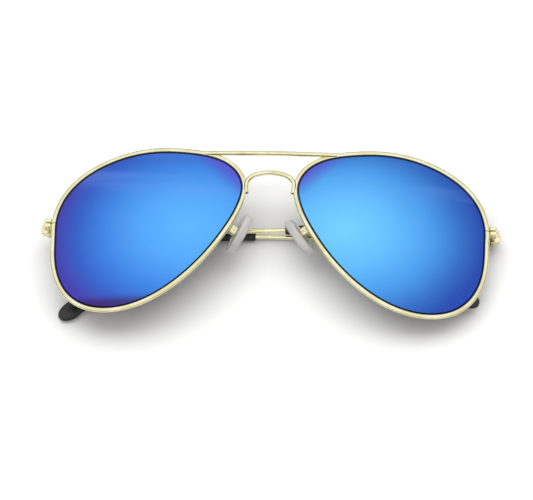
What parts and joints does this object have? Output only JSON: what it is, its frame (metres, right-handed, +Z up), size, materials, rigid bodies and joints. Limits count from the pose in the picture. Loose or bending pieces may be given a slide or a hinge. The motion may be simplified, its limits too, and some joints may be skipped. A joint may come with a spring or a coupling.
{
  "type": "aviator sunglasses",
  "caption": "Aviator sunglasses with mirrored teardrop lenses in wire rims, a double bridge, rocking nose pads and hinged temples folded behind the front.",
  "frame": {"origin": "on the floor under the middle of the bounding box, with the glasses lying face up and both temples folded", "axes": "+X across the face towards the wearer's left temple, +Y towards the top bar, +Z up"},
  "size_m": [0.143, 0.054, 0.0188],
  "materials": {
    "gold_metal": "polished pale gold plating",
    "screw_steel": "turned screw heads",
    "mirror_lens": "blue mirror coating",
    "dark_acetate": "gloss black",
    "clear_silicone": "translucent satin"
  },
  "bodies": {
    "front": {"top_bar": "gold_metal", "bridge": "gold_metal", "left_rim": "gold_metal", "left_lens": "mirror_lens", "left_closing_block_upper": "gold_metal", "left_closing_block_lower": "gold_metal", "left_rim_screw": "screw_steel", "left_end_piece": "gold_metal", "left_hinge_screw": "screw_steel", "left_pad_arm": "gold_metal", "left_pad_box": "gold_metal", "left_pad_screw": "screw_steel", "right_rim": "gold_metal", "right_lens": "mirror_lens", "right_closing_block_upper": "gold_metal", "right_closing_block_lower": "gold_metal", "right_rim_screw": "screw_steel", "right_end_piece": "gold_metal", "right_hinge_screw": "screw_steel", "right_pad_arm": "gold_metal", "right_pad_box": "gold_metal", "right_pad_screw": "screw_steel"},
    "left_temple": {"left_temple": "gold_metal", "left_temple_tip": "dark_acetate", "left_temple_leaf": "gold_metal"},
    "left_pad": {"left_nose_pad": "clear_silicone", "left_pad_insert": "gold_metal"},
    "right_temple": {"right_temple": "gold_metal", "right_temple_tip": "dark_acetate", "right_temple_leaf": "gold_metal"},
    "right_pad": {"right_nose_pad": "clear_silicone", "right_pad_insert": "gold_metal"}
  },
  "joints": [
    {"name": "left_temple_fold", "type": "hinge", "parent": "front", "child": "left_temple", "pos_m": [0.06874, 0.00351, 0.00277], "axis": [0, -0.995, -0.0995], "range_deg": [0, 91.5]},
    {"name": "right_temple_fold", "type": "hinge", "parent": "front", "child": "right_temple", "pos_m": [-0.06881, 0.00315, 0.0064], "axis": [0, 0.995, 0.0995], "range_deg": [0, 93.5]},
    {"name": "left_pad_rock", "type": "hinge", "parent": "front", "child": "left_pad", "pos_m": [0.0113, 0.00151, 0.01055], "axis": [0.3631, 0.2952, -0.8838], "range_deg": [-2, 18]},
    {"name": "right_pad_rock", "type": "hinge", "parent": "front", "child": "right_pad", "pos_m": [-0.01103, 0.00145, 0.01114], "axis": [-0.4108, 0.2932, -0.8633], "range_deg": [-6, 14]}
  ]
}
